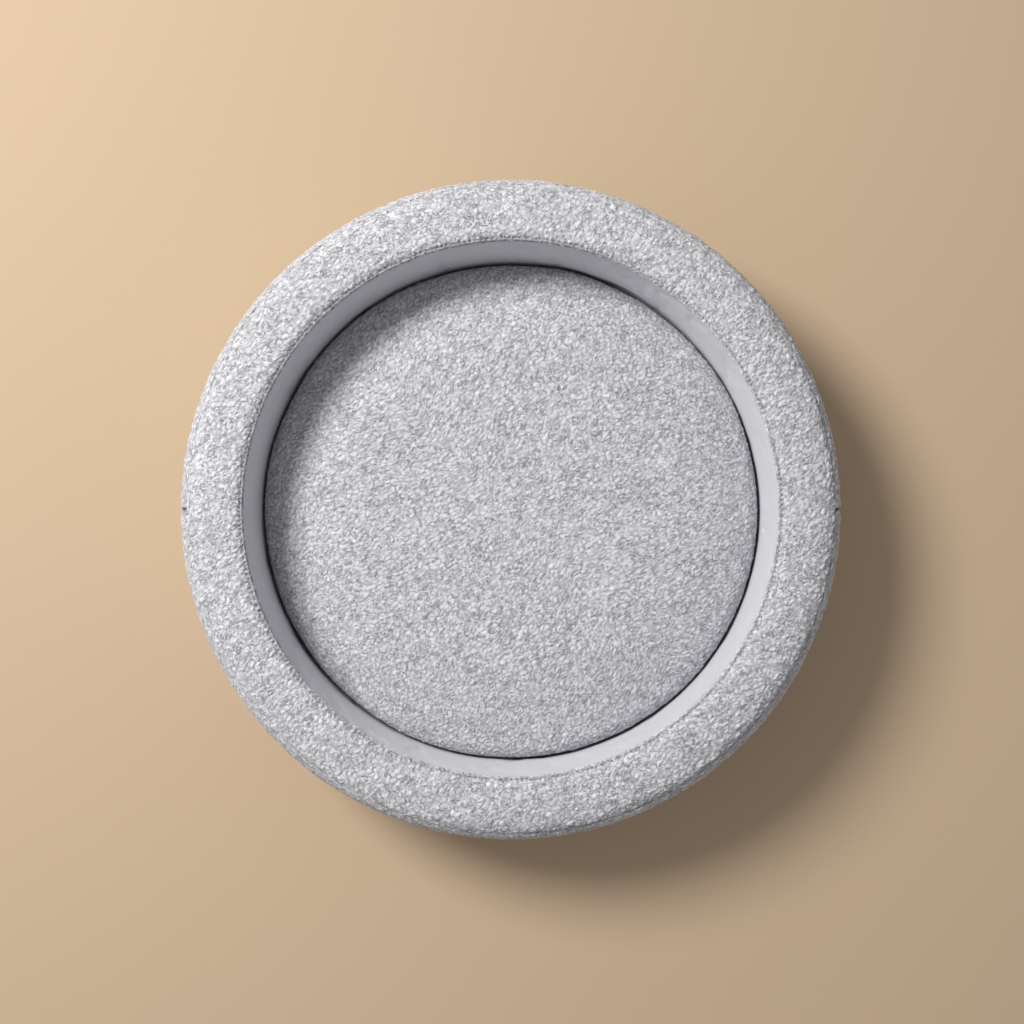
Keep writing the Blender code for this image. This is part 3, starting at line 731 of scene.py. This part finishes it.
def fabric(name, colour, crease_shade_colour, fibre_scale, relief, worm_scale=None):
    """A fabric with fibre relief. Its second colour is painted shade, the colour it is darkened to down in
    the creases, and worm_scale is the scale of the fine creases of a curly one."""
    material, tree, shader = new_material(name)
    fibres = add_node(tree, "ShaderNodeGroup", node_tree=FIBRES)
    fibres.inputs["Colour"].default_value = (*colour, 1)
    fibres.inputs["Crease Shade Colour"].default_value = (*crease_shade_colour, 1)
    fibres.inputs["Fibre Scale"].default_value = fibre_scale
    height = fibres.outputs["Height"]
    if worm_scale:
        # The crease depth kept on the mesh and the worm creases set how much painted shade darkens the
        # colour.
        crease = add_node(tree, "ShaderNodeAttribute", attribute_name="crease").outputs["Fac"]
        worms = add_node(tree, "ShaderNodeGroup", node_tree=WORMS)
        worms.inputs["Scale"].default_value = worm_scale
        both = add_math(tree, "MULTIPLY_ADD", worms.outputs["Crease"], 0.8, crease)
        limit = add_node(tree, "ShaderNodeClamp", {"Value": both})
        tree.links.new(limit.outputs["Result"], fibres.inputs["Crease"])
        height = add_math(tree, "MULTIPLY_ADD", height, 0.5, worms.outputs["Height"])
    tree.links.new(fibres.outputs["Colour"], shader.inputs["Base Color"])
    add_relief(tree, shader, height, 0.8, relief)
    shader.inputs["Roughness"].default_value = 0.95
    shader.inputs["Specular IOR Level"].default_value = 0.15
    shader.inputs["Sheen Weight"].default_value = 0.25
    shader.inputs["Sheen Roughness"].default_value = 0.6
    shader.inputs["Sheen Tint"].default_value = (0.92, 0.93, 1.0, 1)
    return material


def woven(name, colour, gap_shade_colour, thread, relief, round_bed=False, roughness=0.85):
    """A woven fabric; round_bed lays the threads round the bed and up it instead of flat."""
    material, tree, shader = new_material(name)
    spot = add_node(tree, "ShaderNodeTexCoord").outputs["Object"]
    place = add_node(tree, "ShaderNodeSeparateXYZ", {0: spot}).outputs
    across, along = place["X"], place["Y"]
    if round_bed:
        turn = add_math(tree, "ARCTAN2", place["Y"], place["X"])
        across, along = add_math(tree, "MULTIPLY", turn, WALL_RADIUS), place["Z"]
    weave = add_node(tree, "ShaderNodeGroup", node_tree=WEAVE)
    weave.inputs["Thread"].default_value = thread
    weave.inputs["Colour"].default_value = (*colour, 1)
    weave.inputs["Gap Shade Colour"].default_value = (*gap_shade_colour, 1)
    tree.links.new(across, weave.inputs["Across"])
    tree.links.new(along, weave.inputs["Along"])
    fibres = add_node(tree, "ShaderNodeGroup", node_tree=FIBRES)
    fibres.inputs["Fibre Scale"].default_value = 1500
    tree.links.new(weave.outputs["Colour"], fibres.inputs["Colour"])
    tree.links.new(fibres.outputs["Colour"], shader.inputs["Base Color"])
    add_relief(tree, shader, weave.outputs["Height"], 0.9, relief)
    shader.inputs["Roughness"].default_value = roughness
    shader.inputs["Specular IOR Level"].default_value = 0.25
    return material


def hard_finish(name, colour, worn, roughness, metallic, scale):
    """Moulded or cast surface with faint handling marks."""
    material, tree, shader = new_material(name)
    spot = add_node(tree, "ShaderNodeTexCoord").outputs["Object"]
    marks = add_noise(tree, spot, scale, Detail=4.0)
    rough = add_node(tree, "ShaderNodeMapRange", {
        "Value": marks, "To Min": roughness - 0.08, "To Max": roughness + 0.10})
    tree.links.new(add_mix(tree, marks, (*colour, 1), (*worn, 1)), shader.inputs["Base Color"])
    tree.links.new(rough.outputs["Result"], shader.inputs["Roughness"])
    add_relief(tree, shader, marks, 0.3, 0.00005)
    shader.inputs["Metallic"].default_value = metallic
    return material


def open_foam(name, colour, pore_shade_colour, pore, relief):
    """Open-cell foam or loose wadding: pores seen as dark pits, their darkness painted shade."""
    material, tree, shader = new_material(name)
    spot = add_node(tree, "ShaderNodeTexCoord").outputs["Object"]
    cells = add_node(tree, "ShaderNodeTexVoronoi", {"Vector": spot, "Scale": 1 / pore}).outputs["Distance"]
    # Painted shade in the pores.
    tree.links.new(add_mix(tree, cells, (*pore_shade_colour, 1), (*colour, 1)), shader.inputs["Base Color"])
    add_relief(tree, shader, cells, 0.7, relief)
    shader.inputs["Roughness"].default_value = 0.95
    return material


# The second colour of each fabric is painted shade for its creases.
CURLY = fabric("curly_pile_grey", (0.88, 0.885, 0.925), (0.34, 0.335, 0.35), 850, 0.0009,
               worm_scale=300.0)
CURLY_CUSHION = fabric("curly_pile_cushion", (0.85, 0.857, 0.90), (0.30, 0.297, 0.315), 950, 0.0007,
                       worm_scale=330.0)
SHORT = fabric("short_pile_grey", (0.69, 0.69, 0.72), (0.5, 0.5, 0.52), 1400, 0.0003)
# The second colour of each woven cloth is painted shade between its threads.
LINING = woven("plain_lining", (0.52, 0.52, 0.55), (0.30, 0.30, 0.32), 0.0007, 0.0002)
GRIP_CLOTH = woven("grip_base_cloth", (0.11, 0.11, 0.12), (0.05, 0.05, 0.055), 0.0009, 0.0002)
GRIP_DOTS = hard_finish("grip_dots", (0.055, 0.055, 0.06), (0.09, 0.09, 0.095), 0.55, 0.0, 300)
RING_TAPE = woven("ring_zip_tape", (0.55, 0.55, 0.58), (0.34, 0.34, 0.36), 0.0006, 0.0002, round_bed=True)
CUSHION_TAPE = woven("cushion_zip_tape", (0.55, 0.55, 0.58), (0.34, 0.34, 0.36), 0.0006, 0.0002)
TAB_CLOTH = woven("zip_end_cloth", (0.50, 0.50, 0.53), (0.30, 0.30, 0.32), 0.0005, 0.0002, round_bed=True)
LABEL_CLOTH = woven("blank_label_satin", (0.86, 0.86, 0.84), (0.70, 0.70, 0.68), 0.0003, 0.00008,
                    round_bed=True, roughness=0.5)
COIL = hard_finish("nylon_coil", (0.60, 0.60, 0.62), (0.54, 0.54, 0.56), 0.42, 0.0, 400)
METAL = hard_finish("zip_alloy", (0.62, 0.62, 0.64), (0.50, 0.50, 0.52), 0.32, 1.0, 500)
THREAD = hard_finish("sewing_thread", (0.62, 0.62, 0.65), (0.50, 0.50, 0.53), 0.7, 0.0, 3000)
FOAM = open_foam("open_cell_foam", (0.80, 0.78, 0.70), (0.55, 0.53, 0.46), 0.0011, 0.0004)
WADDING = open_foam("polyester_wadding", (0.87, 0.87, 0.86), (0.78, 0.78, 0.77), 0.0060, 0.0010)


# ---------------------------------------------------------------- the ring and the cushion

def fit(piece, body, slot, *replaced):
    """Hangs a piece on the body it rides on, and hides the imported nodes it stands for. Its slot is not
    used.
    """
    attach(piece, body)
    if replaced:
        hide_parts(*replaced)


def pad(skin, body, slot, node):
    """Hangs a padded skin on the body it rides on, and hides the imported node it stands for. Its slot is not
    used.
    """
    fit(skin, body, slot, node)


def seam_puckers(spots, angles, lengths):
    """Uneven tufts and short puckers along the stitched seam at the top of the well's wall, with painted
    shade along its groove.
    """
    wander = soft_noise(round_place(1, angles, 0 * angles) * 22, 31)
    pitch = angles * INNER_SEAM_RADIUS / PUCKER_PITCH + wander * 0.9
    pulse = 0.5 + 0.5 * np.cos(2 * pi * pitch)
    away = lengths - PILE_LAP - 0.0012
    groove = (0.15 + 0.85 * pulse) * np.exp(-(away / 0.0013) ** 2)
    pucker = 0.0008 * pulse ** 2 * np.exp(-np.abs(away) / 0.0050)
    # The second value darkens the groove: painted shade.
    return -0.0012 * groove - pucker, 0.55 * groove


def soft_wall(spots, angles, lengths):
    """Slight unevenness of the short-pile wall over its padding, with no creases."""
    unevenness = soft_noise(spots / 0.016, 51) * 0.00035 + soft_noise(spots / 0.0045, 52) * 0.00012
    return unevenness, 0 * lengths


def build_ring():
    whole, front, rear = (0.0, 2 * pi), (pi, 2 * pi), (0.0, pi)
    inner, top, outer = inner_wall_line(), ring_top_line(), outer_wall_line()
    ends = [arc_lengths(np.asarray(line))[-1] for line in (inner, top, outer)]
    inner_length, top_length, outer_length = ends
    swell = None
    outline = resampled(np.concatenate([inner, top[3:], outer[1:]]), RING_OUTLINE_STEP)
    total = arc_lengths(outline)[-1]
    top_length -= PILE_LAP
    sewn = (0.0, inner_length, inner_length + top_length, total - SKIRT_SEAM_FROM_FOOT, total)
    swell = inflated_section("ring_padding", outline, sewn, 240, 3.0, 0.0035)
    skin, length = turned_shell("ring_top_pile", top, PILE_SKIN, whole, PILE_SPACING, CURLY)
    shape_skin(skin, length, RING_CURL, RING_PILE, swell, inner_length - PILE_LAP,
               edges=(FAINT_DIP, OUTER_SEAM_DIP), extra=seam_puckers)
    pad(skin, "bed", "curly_pile", "ring_top_cover")
    skin, length = turned_shell("ring_inner_pile", inner, WALL_SKIN, whole, SMOOTH_SPACING, SHORT)
    shape_skin(skin, length, None, 0.0, swell, edges=(0, FAINT_DIP), extra=soft_wall)
    pad(skin, "bed", "short_pile", "ring_inner_wall")
    upper, skirt = cut_line(outer, low_z=ZIP_UPPER_EDGE), cut_line(outer, high_z=ZIP_LOWER_EDGE)
    for name, node, line, angles, edges in (
            ("ring_front_pile", "ring_outer_wall_front", outer, front, (OUTER_SEAM_DIP, OUTER_SEAM_DIP)),
            ("ring_rear_pile", "ring_outer_wall_rear", upper, rear, (OUTER_SEAM_DIP, 0)),
            ("ring_skirt_pile", "ring_rear_skirt", skirt, rear, (0, OUTER_SEAM_DIP))):
        skin, length = turned_shell(name, line, PILE_SKIN, angles, WALL_SPACING, CURLY)
        start = inner_length + top_length
        if line is skirt:
            start += outer_length - length
        shape_skin(skin, length, RING_CURL, OUTER_PILE, swell, start, edges=edges, side_seams=(0.0, pi))
        pad(skin, "bed", "curly_pile", node)


def closed_square(name, count, material):
    """A flat square grid from -1 to 1, closed by a copy of its rim at a height of -1."""
    bm = bmesh.new()
    bmesh.ops.create_grid(bm, x_segments=count, y_segments=count, size=1)
    rim = [edge for edge in bm.edges if edge.is_boundary]
    for item in bmesh.ops.extrude_edge_only(bm, edges=rim)["geom"]:
        if isinstance(item, bmesh.types.BMVert):
            item.co.z = -1.0
    bmesh.ops.holes_fill(bm, edges=[edge for edge in bm.edges if edge.is_boundary], sides=0)
    bmesh.ops.recalc_face_normals(bm, faces=bm.faces)
    return new_piece(name, bm, material)


def square_to_disc(place):
    """For points of the square: an angle, and the share of the way from its middle to its rim."""
    a, b = place[:, 0], place[:, 1]
    wide = np.abs(a) >= np.abs(b)
    reach = np.where(wide, a, b)
    safe = np.where(reach == 0, 1, reach)
    turn = np.where(wide, b / safe * pi / 4, pi / 2 - a / safe * pi / 4)
    return np.where(reach < 0, turn + pi, turn), np.abs(reach)


def cushion_swell(top_length):
    """The swell of the cushion's cover, sewn down at its side seam and its lower seam."""
    coarse = resampled(cushion_line(), CUSHION_OUTLINE_STEP)[1:]
    closed = np.concatenate([coarse, resampled(cushion_side_line(), CUSHION_OUTLINE_STEP)[1:]])
    sewn = (top_length, arc_lengths(closed)[-1])
    lengths, table = inflated_section("cushion_padding", closed, sewn, 220, 2.0, 0.0030)
    return lengths + CUSHION_OUTLINE_STEP, table


def build_cushion():
    line = resampled(cushion_line(), OUTLINE_STEP)
    lengths, normals = arc_lengths(line), side_normals(line)
    total = lengths[-1]
    piece = closed_square("cushion_top_pile", int(round(2 * total / PILE_SPACING * 0.9)), CURLY_CUSHION)
    mesh = piece.data
    place = points_of(mesh)
    hidden = place[:, 2] < -0.5
    angle, share = square_to_disc(place)
    at = share * total
    spots = round_place(np.interp(at, lengths, line[:, 0]), angle, np.interp(at, lengths, line[:, 1]))
    normal = round_place(np.interp(at, lengths, normals[:, 0]), angle, np.interp(at, lengths, normals[:, 1]))
    pile, crease = curly_pile(spots, CUSHION_CURL, CUSHION_SEED)
    edge = np.exp(-((total - at) / SEAM_WIDTH) ** 2)
    offset = (pile - PILE_MIDDLE) * CUSHION_PILE * (1 - 0.5 * edge) - CUSHION_SEAM_DIP * edge
    offset += soft_noise(spots / 0.055, 77) * 0.0009 + soft_noise(spots / 0.024, 78) * 0.0003
    offset += read_swell(cushion_swell(total), angle, at) * np.clip(at / 0.06, 0, 1)
    spots = spots + normal * offset[:, None]
    spots[hidden] -= round_place(0.004, angle, 0 * angle)[hidden]
    mesh.vertices.foreach_set("co", spots.ravel())
    # The crease depth on the mesh is the mask of painted shade in the creases.
    write_layer(mesh, "crease", np.where(hidden, 0, crease))
    mesh.update()
    pad(piece, "cushion", "curly_pile", "cushion_top_panel")
    band, length = turned_shell("cushion_band_pile", cushion_side_line(), PILE_SKIN, (0.0, 2 * pi),
                                WALL_SPACING, CURLY_CUSHION)
    shape_skin(band, length, CUSHION_CURL, BAND_PILE, seed=CUSHION_SEED)
    pad(band, "cushion", "curly_pile", "cushion_side_band")


# ---------------------------------------------------------------- base, lining, zips and small hard pieces

def softened(name, node, rounding, segments, material):
    """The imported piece's own shape with its edges rounded."""
    bm = bmesh.new()
    bm.from_mesh(nodes[node].data)
    bmesh.ops.remove_doubles(bm, verts=bm.verts, dist=1e-6)
    bmesh.ops.dissolve_limit(bm, angle_limit=radians(1), verts=bm.verts, edges=bm.edges)
    sharp = [edge for edge in bm.edges if edge.is_manifold and edge.calc_face_angle() > radians(30)]
    bmesh.ops.bevel(bm, geom=sharp, offset=rounding, offset_type="OFFSET", segments=segments,
                    profile=0.5, affect="EDGES", clamp_overlap=True, material=-1)
    return new_piece(name, bm, material, smooth=False)


def disc(name, radius, low, high, rings, material, ripple=0.0):
    """A flat round cloth with a rounded rim and, if wanted, faint ripples."""
    bm = bmesh.new()
    half = (high - low) / 2
    line = [(radius * k / rings, low) for k in range(rings)] + [(radius - half, low), (radius, low + half)]
    line += [(radius - half, high)] + [(radius * k / rings, high) for k in range(rings - 1, -1, -1)]
    verts = [bm.verts.new((r, 0, z)) for r, z in line]
    edges = [bm.edges.new(pair) for pair in zip(verts, verts[1:])]
    bmesh.ops.spin(bm, geom=verts + edges, cent=(0, 0, 0), axis=(0, 0, 1), angle=2 * pi,
                   steps=160, use_merge=True)
    bmesh.ops.remove_doubles(bm, verts=bm.verts, dist=1e-6)
    bmesh.ops.recalc_face_normals(bm, faces=bm.faces)
    if ripple:
        spots = np.array([vert.co[:] for vert in bm.verts])
        for vert, move in zip(bm.verts, soft_noise(spots * [1, 1, 0] / 0.045, 5) * ripple):
            vert.co.z += move
    return new_piece(name, bm, material)


def repeated(bm, count, pitch_angle=0.0, step=(0, 0, 0)):
    """Copies everything in bm count more times, turned about Z or moved by a step each time."""
    bmesh.ops.spin(bm, geom=bm.verts[:] + bm.edges[:] + bm.faces[:], cent=(0, 0, 0), axis=(0, 0, 1),
                   dvec=step, angle=pitch_angle * count, steps=count, use_duplicate=True)


def bead(bm, size, place, turn=0.0):
    """One small rounded piece of the given size, such as a stitch or a tooth of a zip."""
    made = bmesh.ops.create_uvsphere(bm, u_segments=8, v_segments=5, radius=0.5)["verts"]
    bmesh.ops.scale(bm, vec=size, verts=made)
    bmesh.ops.rotate(bm, cent=(0, 0, 0), matrix=Matrix.Rotation(turn, 3, "Z"), verts=made)
    bmesh.ops.translate(bm, vec=place, verts=made)


def round_stitches(name, radius, z, angles, slot, pitch=0.0042, length=0.0030, thick=0.0007):
    """A row of stitches round the bed, each lying along the row."""
    bm = bmesh.new()
    turn = angles[1] - angles[0]
    place = (radius * cos(angles[0]), radius * sin(angles[0]), z)
    bead(bm, (thick, length, thick), place, angles[0])
    count = int(turn * radius / pitch) - 1
    repeated(bm, count, turn / (count + 1))
    fit(new_piece(name, bm, THREAD), "bed", slot)


def bent_strip(name, low_radius, high_radius, low_z, high_z, angles, material):
    """A flat strip bent round the bed, with softened edges."""
    bm = bmesh.new()
    edge = min(high_radius - low_radius, high_z - low_z) * 0.3
    line = [(low_radius, low_z + edge), (low_radius + edge, low_z), (high_radius - edge, low_z),
            (high_radius, low_z + edge), (high_radius, high_z - edge), (high_radius - edge, high_z),
            (low_radius + edge, high_z), (low_radius, high_z - edge)]
    verts = [bm.verts.new((r * cos(angles[0]), r * sin(angles[0]), z)) for r, z in line]
    edges = [bm.edges.new(pair) for pair in zip(verts, verts[1:] + verts[:1])]
    bmesh.ops.spin(bm, geom=verts + edges, cent=(0, 0, 0), axis=(0, 0, 1), angle=angles[1] - angles[0],
                   steps=180)
    bmesh.ops.holes_fill(bm, edges=[side for side in bm.edges if side.is_boundary], sides=0)
    bmesh.ops.recalc_face_normals(bm, faces=bm.faces)
    return new_piece(name, bm, material)


def add_grip_row(bm, y, shift, z):
    """One row of grip dots across the base, moved sideways by shift."""
    reach = sqrt((BASE_RADIUS - 0.006) ** 2 - y * y) - shift
    count = int(reach / DOT_SPACING)
    dots = bmesh.new()
    place = Matrix.Translation((-count * DOT_SPACING - shift, y, z))
    bmesh.ops.create_cone(dots, cap_ends=True, segments=8, radius1=0.0014, radius2=0.0022,
                          depth=DOT_HEIGHT * 1.1, matrix=place)
    repeated(dots, 2 * count + (1 if shift else 0), step=(DOT_SPACING, 0, 0))
    mesh = bpy.data.meshes.new("grip_row")
    dots.to_mesh(mesh)
    dots.free()
    bm.from_mesh(mesh)
    bpy.data.meshes.remove(mesh)


def build_base():
    low, high = (corner.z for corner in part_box("base_panel"))
    cloth = disc("base_cloth", BASE_RADIUS, low + DOT_HEIGHT, high, 24, GRIP_CLOTH)
    fit(cloth, "bed", "grip_fabric", "base_panel")
    bm = bmesh.new()
    row_gap = DOT_SPACING * sqrt(3) / 2
    rows = int((BASE_RADIUS - 0.008) / row_gap)
    for row in range(-rows, rows + 1):
        add_grip_row(bm, row * row_gap, DOT_SPACING / 2 if row % 2 else 0, low + DOT_HEIGHT * 0.55)
    fit(new_piece("base_grip_dots", bm, GRIP_DOTS), "bed", "grip_fabric")
    low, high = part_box("well_floor_panel")
    lining = disc("well_lining", high.x, low.z, high.z, 60, LINING, ripple=0.00018)
    fit(lining, "bed", "plain_fabric", "well_floor_panel")


def fit_softened(name, node, body, slot, rounding, segments, material):
    fit(softened(name, node, rounding, segments, material), body, slot, node)


def build_ring_zip():
    whole = (radians(4.5), radians(175.5))
    toothed = (radians(9), radians(171))
    for side, tooth_shift in (("upper", 0.5), ("lower", 1.0)):
        low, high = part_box(f"ring_zip_tape_{side}")
        tape = bent_strip(f"ring_tape_{side}", high.y - RING_TAPE_DEPTH, high.y, low.z, high.z, whole,
                          RING_TAPE)
        fit(tape, "bed", "zip_tape", f"ring_zip_tape_{side}")
        low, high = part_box(f"ring_zip_coil_{side}")
        radius = high.y - RING_TOOTH_DEPTH / 2
        pitch = TOOTH_PITCH / radius
        first = toothed[0] + pitch * tooth_shift
        place = (radius * cos(first), radius * sin(first), (low.z + high.z) / 2)
        bm = bmesh.new()
        bead(bm, (RING_TOOTH_DEPTH, TOOTH_LENGTH, high.z - low.z), place, first)
        repeated(bm, int((toothed[1] - first) / pitch), pitch)
        fit(new_piece(f"ring_teeth_{side}", bm, COIL), "bed", "zip_coil", f"ring_zip_coil_{side}")
    for side in ("upper", "lower"):
        fit_softened(f"ring_stop_{side}", f"ring_zip_top_stop_{side}", "bed", "zip_metal", 0.0005, 3, METAL)
    fit_softened("ring_stop_end", "ring_zip_bottom_stop", "bed", "zip_metal", 0.0006, 3, METAL)
    for end in ("start", "finish"):
        fit_softened(f"ring_zip_cover_{end}", f"ring_zip_end_tab_{end}", "bed", "plain_fabric", 0.0008, 3,
                     TAB_CLOTH)
    span = (radians(2), radians(178))
    for side, z in (("upper", ZIP_UPPER_EDGE + STITCH_FROM_ZIP), ("lower", ZIP_LOWER_EDGE - STITCH_FROM_ZIP)):
        round_stitches(f"zip_stitches_{side}", WALL_RADIUS + 0.0001, z, span, "plain_fabric")
    build_slider("ring")


def build_slider(zip_name):
    """The slider and the pull of one zip, each on its own body."""
    for piece, part in (("body", "slider"), ("pull", "pull")):
        node = f"{zip_name}_zip_{part}"
        fit_softened(f"{zip_name}_slider_{piece}", node, node, "zip_metal", 0.0004, 3, METAL)


def build_cushion_zip():
    for side, tooth_shift in (("front", 0.5), ("rear", 1.0)):
        fit_softened(f"cushion_tape_{side}", f"cushion_zip_tape_{side}", "cushion", "zip_tape", 0.0002, 2,
                     CUSHION_TAPE)
        low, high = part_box(f"cushion_zip_coil_{side}")
        first = low.x + TOOTH_PITCH * tooth_shift
        bm = bmesh.new()
        bead(bm, (TOOTH_LENGTH, high.y - low.y, high.z - low.z), (first, *((low + high) / 2).yz))
        repeated(bm, int((high.x - first) / TOOTH_PITCH) - 1, step=(TOOTH_PITCH, 0, 0))
        fit(new_piece(f"cushion_teeth_{side}", bm, COIL), "cushion", "zip_coil", f"cushion_zip_coil_{side}")
        fit_softened(f"cushion_stop_{side}", f"cushion_zip_top_stop_{side}", "cushion", "zip_metal",
                     0.0005, 3, METAL)
        fit_softened(f"cushion_facing_{side}", f"cushion_zip_facing_{side}", "cushion", "curly_pile",
                     0.0011, 4, SHORT)
    fit_softened("cushion_stop_end", "cushion_zip_bottom_stop", "cushion", "zip_metal", 0.0006, 3, METAL)
    for end in ("start", "finish"):
        fit_softened(f"cushion_zip_cover_{end}", f"cushion_zip_end_tab_{end}", "cushion", "plain_fabric",
                     0.0008, 3, LINING)
    fit_softened("cushion_underside", "cushion_bottom_panel", "cushion", "plain_fabric", 0.0006, 3, LINING)
    build_slider("cushion")


def build_trim():
    """The blank care label and the stitching that shows on the ring."""
    fit_softened("blank_label", "care_label", "bed", "label", 0.0002, 2, LABEL_CLOTH)
    round_stitches("inner_seam_stitches", INNER_SEAM_RADIUS + 0.0006, INNER_SEAM_Z + 0.0002, (0, 2 * pi),
                   "short_pile", pitch=0.0046, length=0.0031, thick=0.0008)


def finish_hidden_layers():
    """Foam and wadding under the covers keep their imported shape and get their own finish."""
    for node, material in (("base_pad", FOAM), ("ring_foam_core", FOAM), ("cushion_foam_core", FOAM),
                           ("ring_wadding", WADDING), ("cushion_wadding", WADDING)):
        for place in nodes[node].material_slots:
            place.material = material


add_camera()
add_light()
add_floor()
build_ring()
build_cushion()
build_base()
build_ring_zip()
build_cushion_zip()
build_trim()
finish_hidden_layers()
